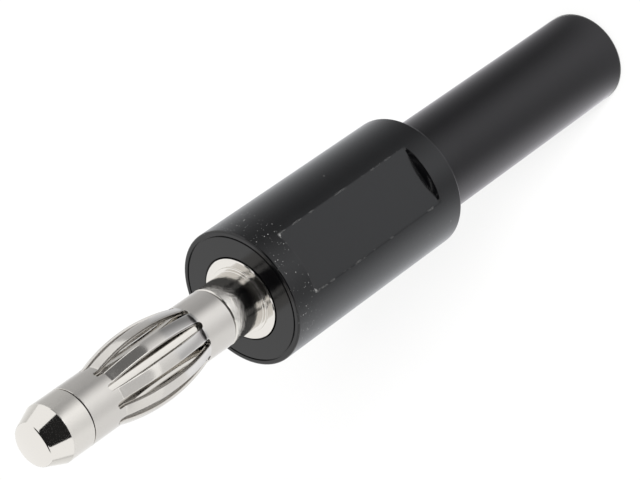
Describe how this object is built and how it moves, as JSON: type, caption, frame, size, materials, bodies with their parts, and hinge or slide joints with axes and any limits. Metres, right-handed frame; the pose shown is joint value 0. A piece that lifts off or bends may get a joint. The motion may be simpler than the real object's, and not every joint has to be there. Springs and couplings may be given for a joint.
{
  "type": "banana plug",
  "caption": "Cable-end banana plug with a nickel-plated pin, a sprung lantern contact of bowed leaves, and a black moulded grip with flats and a slim cable tail.",
  "frame": {"origin": "centre of the tail's flat end, where the plug stands", "axes": "+Z along the plug from the tail to the nose, -Y out of the middle of one grip flat"},
  "size_m": [0.0092, 0.0092, 0.0545],
  "materials": {
    "black_polyamide": "satin moulded",
    "nickel_plated_brass": "turned and bright nickel plated",
    "nickel_plated_bronze": "rolled and nickel plated"
  },
  "bodies": {
    "housing": {"housing": "black_polyamide"},
    "contact_pin": {"contact_pin": "nickel_plated_brass"},
    "contact_spring": {"contact_spring": "nickel_plated_bronze"}
  },
  "joints": [
    {"name": "pin_unscrew", "type": "slide", "parent": "housing", "child": "contact_pin", "axis": [0, 0, 1], "range_m": [0, 0.0135]},
    {"name": "spring_spin", "type": "hinge", "parent": "contact_pin", "child": "contact_spring", "pos_m": [0, 0, 0.045], "axis": [0, 0, 1], "continuous": true}
  ]
}
